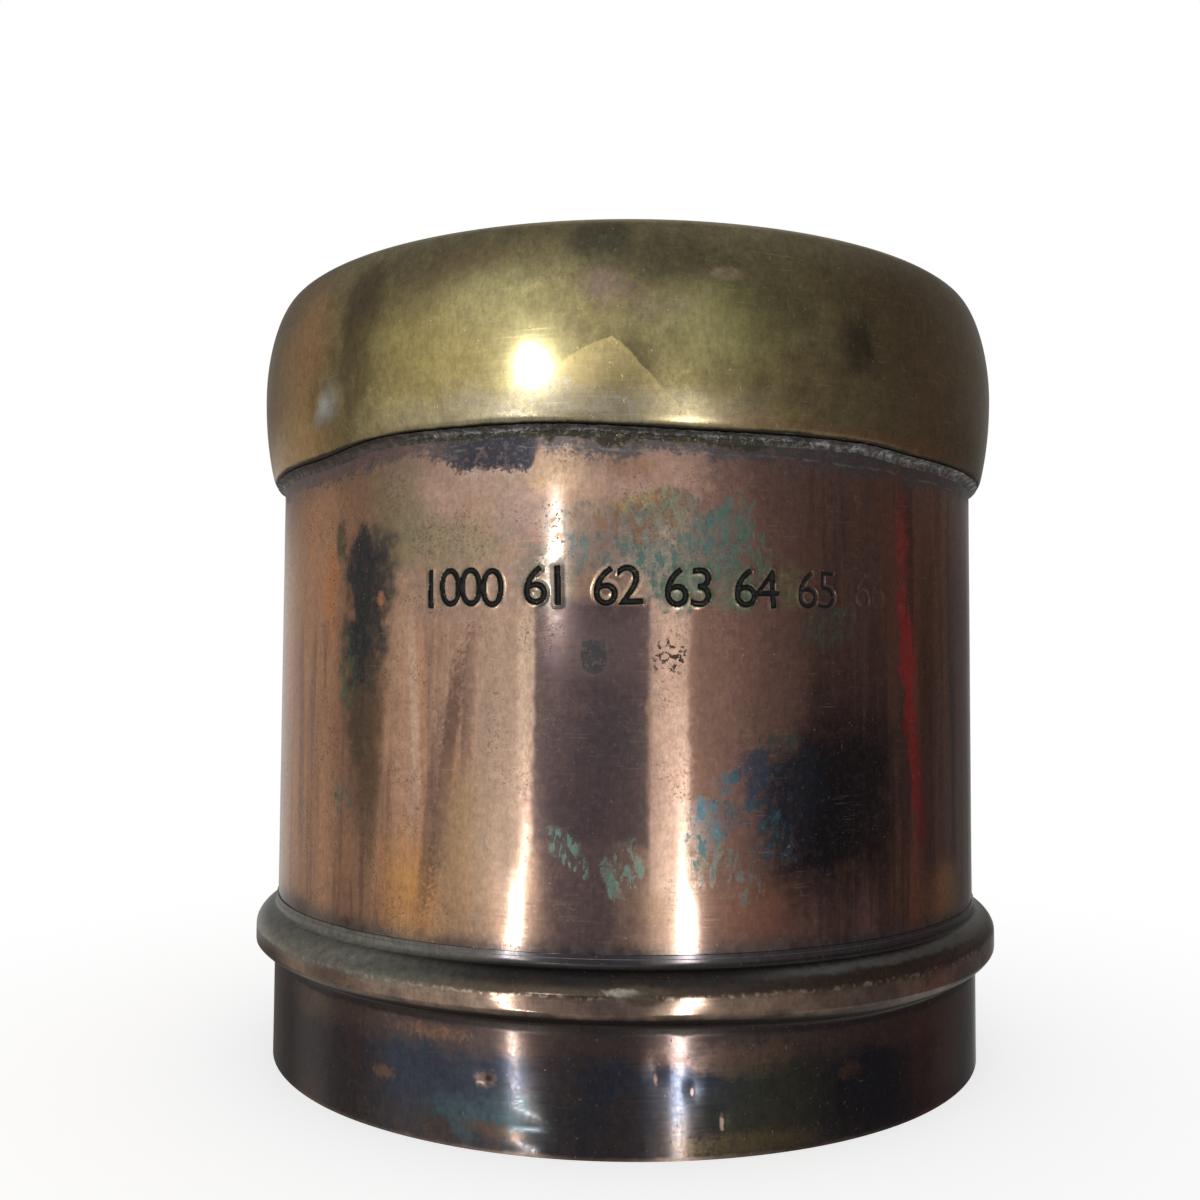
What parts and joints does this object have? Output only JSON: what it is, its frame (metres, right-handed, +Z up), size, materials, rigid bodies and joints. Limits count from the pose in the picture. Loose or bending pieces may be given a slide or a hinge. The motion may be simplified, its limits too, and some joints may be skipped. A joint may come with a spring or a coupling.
{
  "type": "measuring cup",
  "caption": "Cylindrical copper measuring cup with a barrel-shaped brass mouth band and a beaded foot band, for measuring liquids by volume.",
  "frame": {"origin": "centre of the foot's standing ring, on the ground", "axes": "+Z up along the cup's axis, -Y towards the stamped front, seams of the sheets about +Y"},
  "size_m": [0.1222, 0.1222, 0.1188],
  "materials": {
    "wall_copper": "worn, patinated copper sheet",
    "foot_copper": "dark tarnished copper sheet",
    "bottom_copper": "dull copper sheet",
    "collar_brass": "tarnished, finely scratched brass",
    "seam_spelter": "dull brazing brass",
    "grey_solder": "oxidised tin-lead solder"
  },
  "bodies": {
    "root": {"copper_shell": "wall_copper", "shell_seam_braze": "seam_spelter", "brass_collar": "collar_brass", "collar_seam_solder": "grey_solder", "collar_solder": "grey_solder", "foot_band": "foot_copper", "foot_seam_braze": "seam_spelter", "foot_solder": "grey_solder", "bottom_plate": "bottom_copper", "bottom_solder": "grey_solder"}
  },
  "joints": []
}
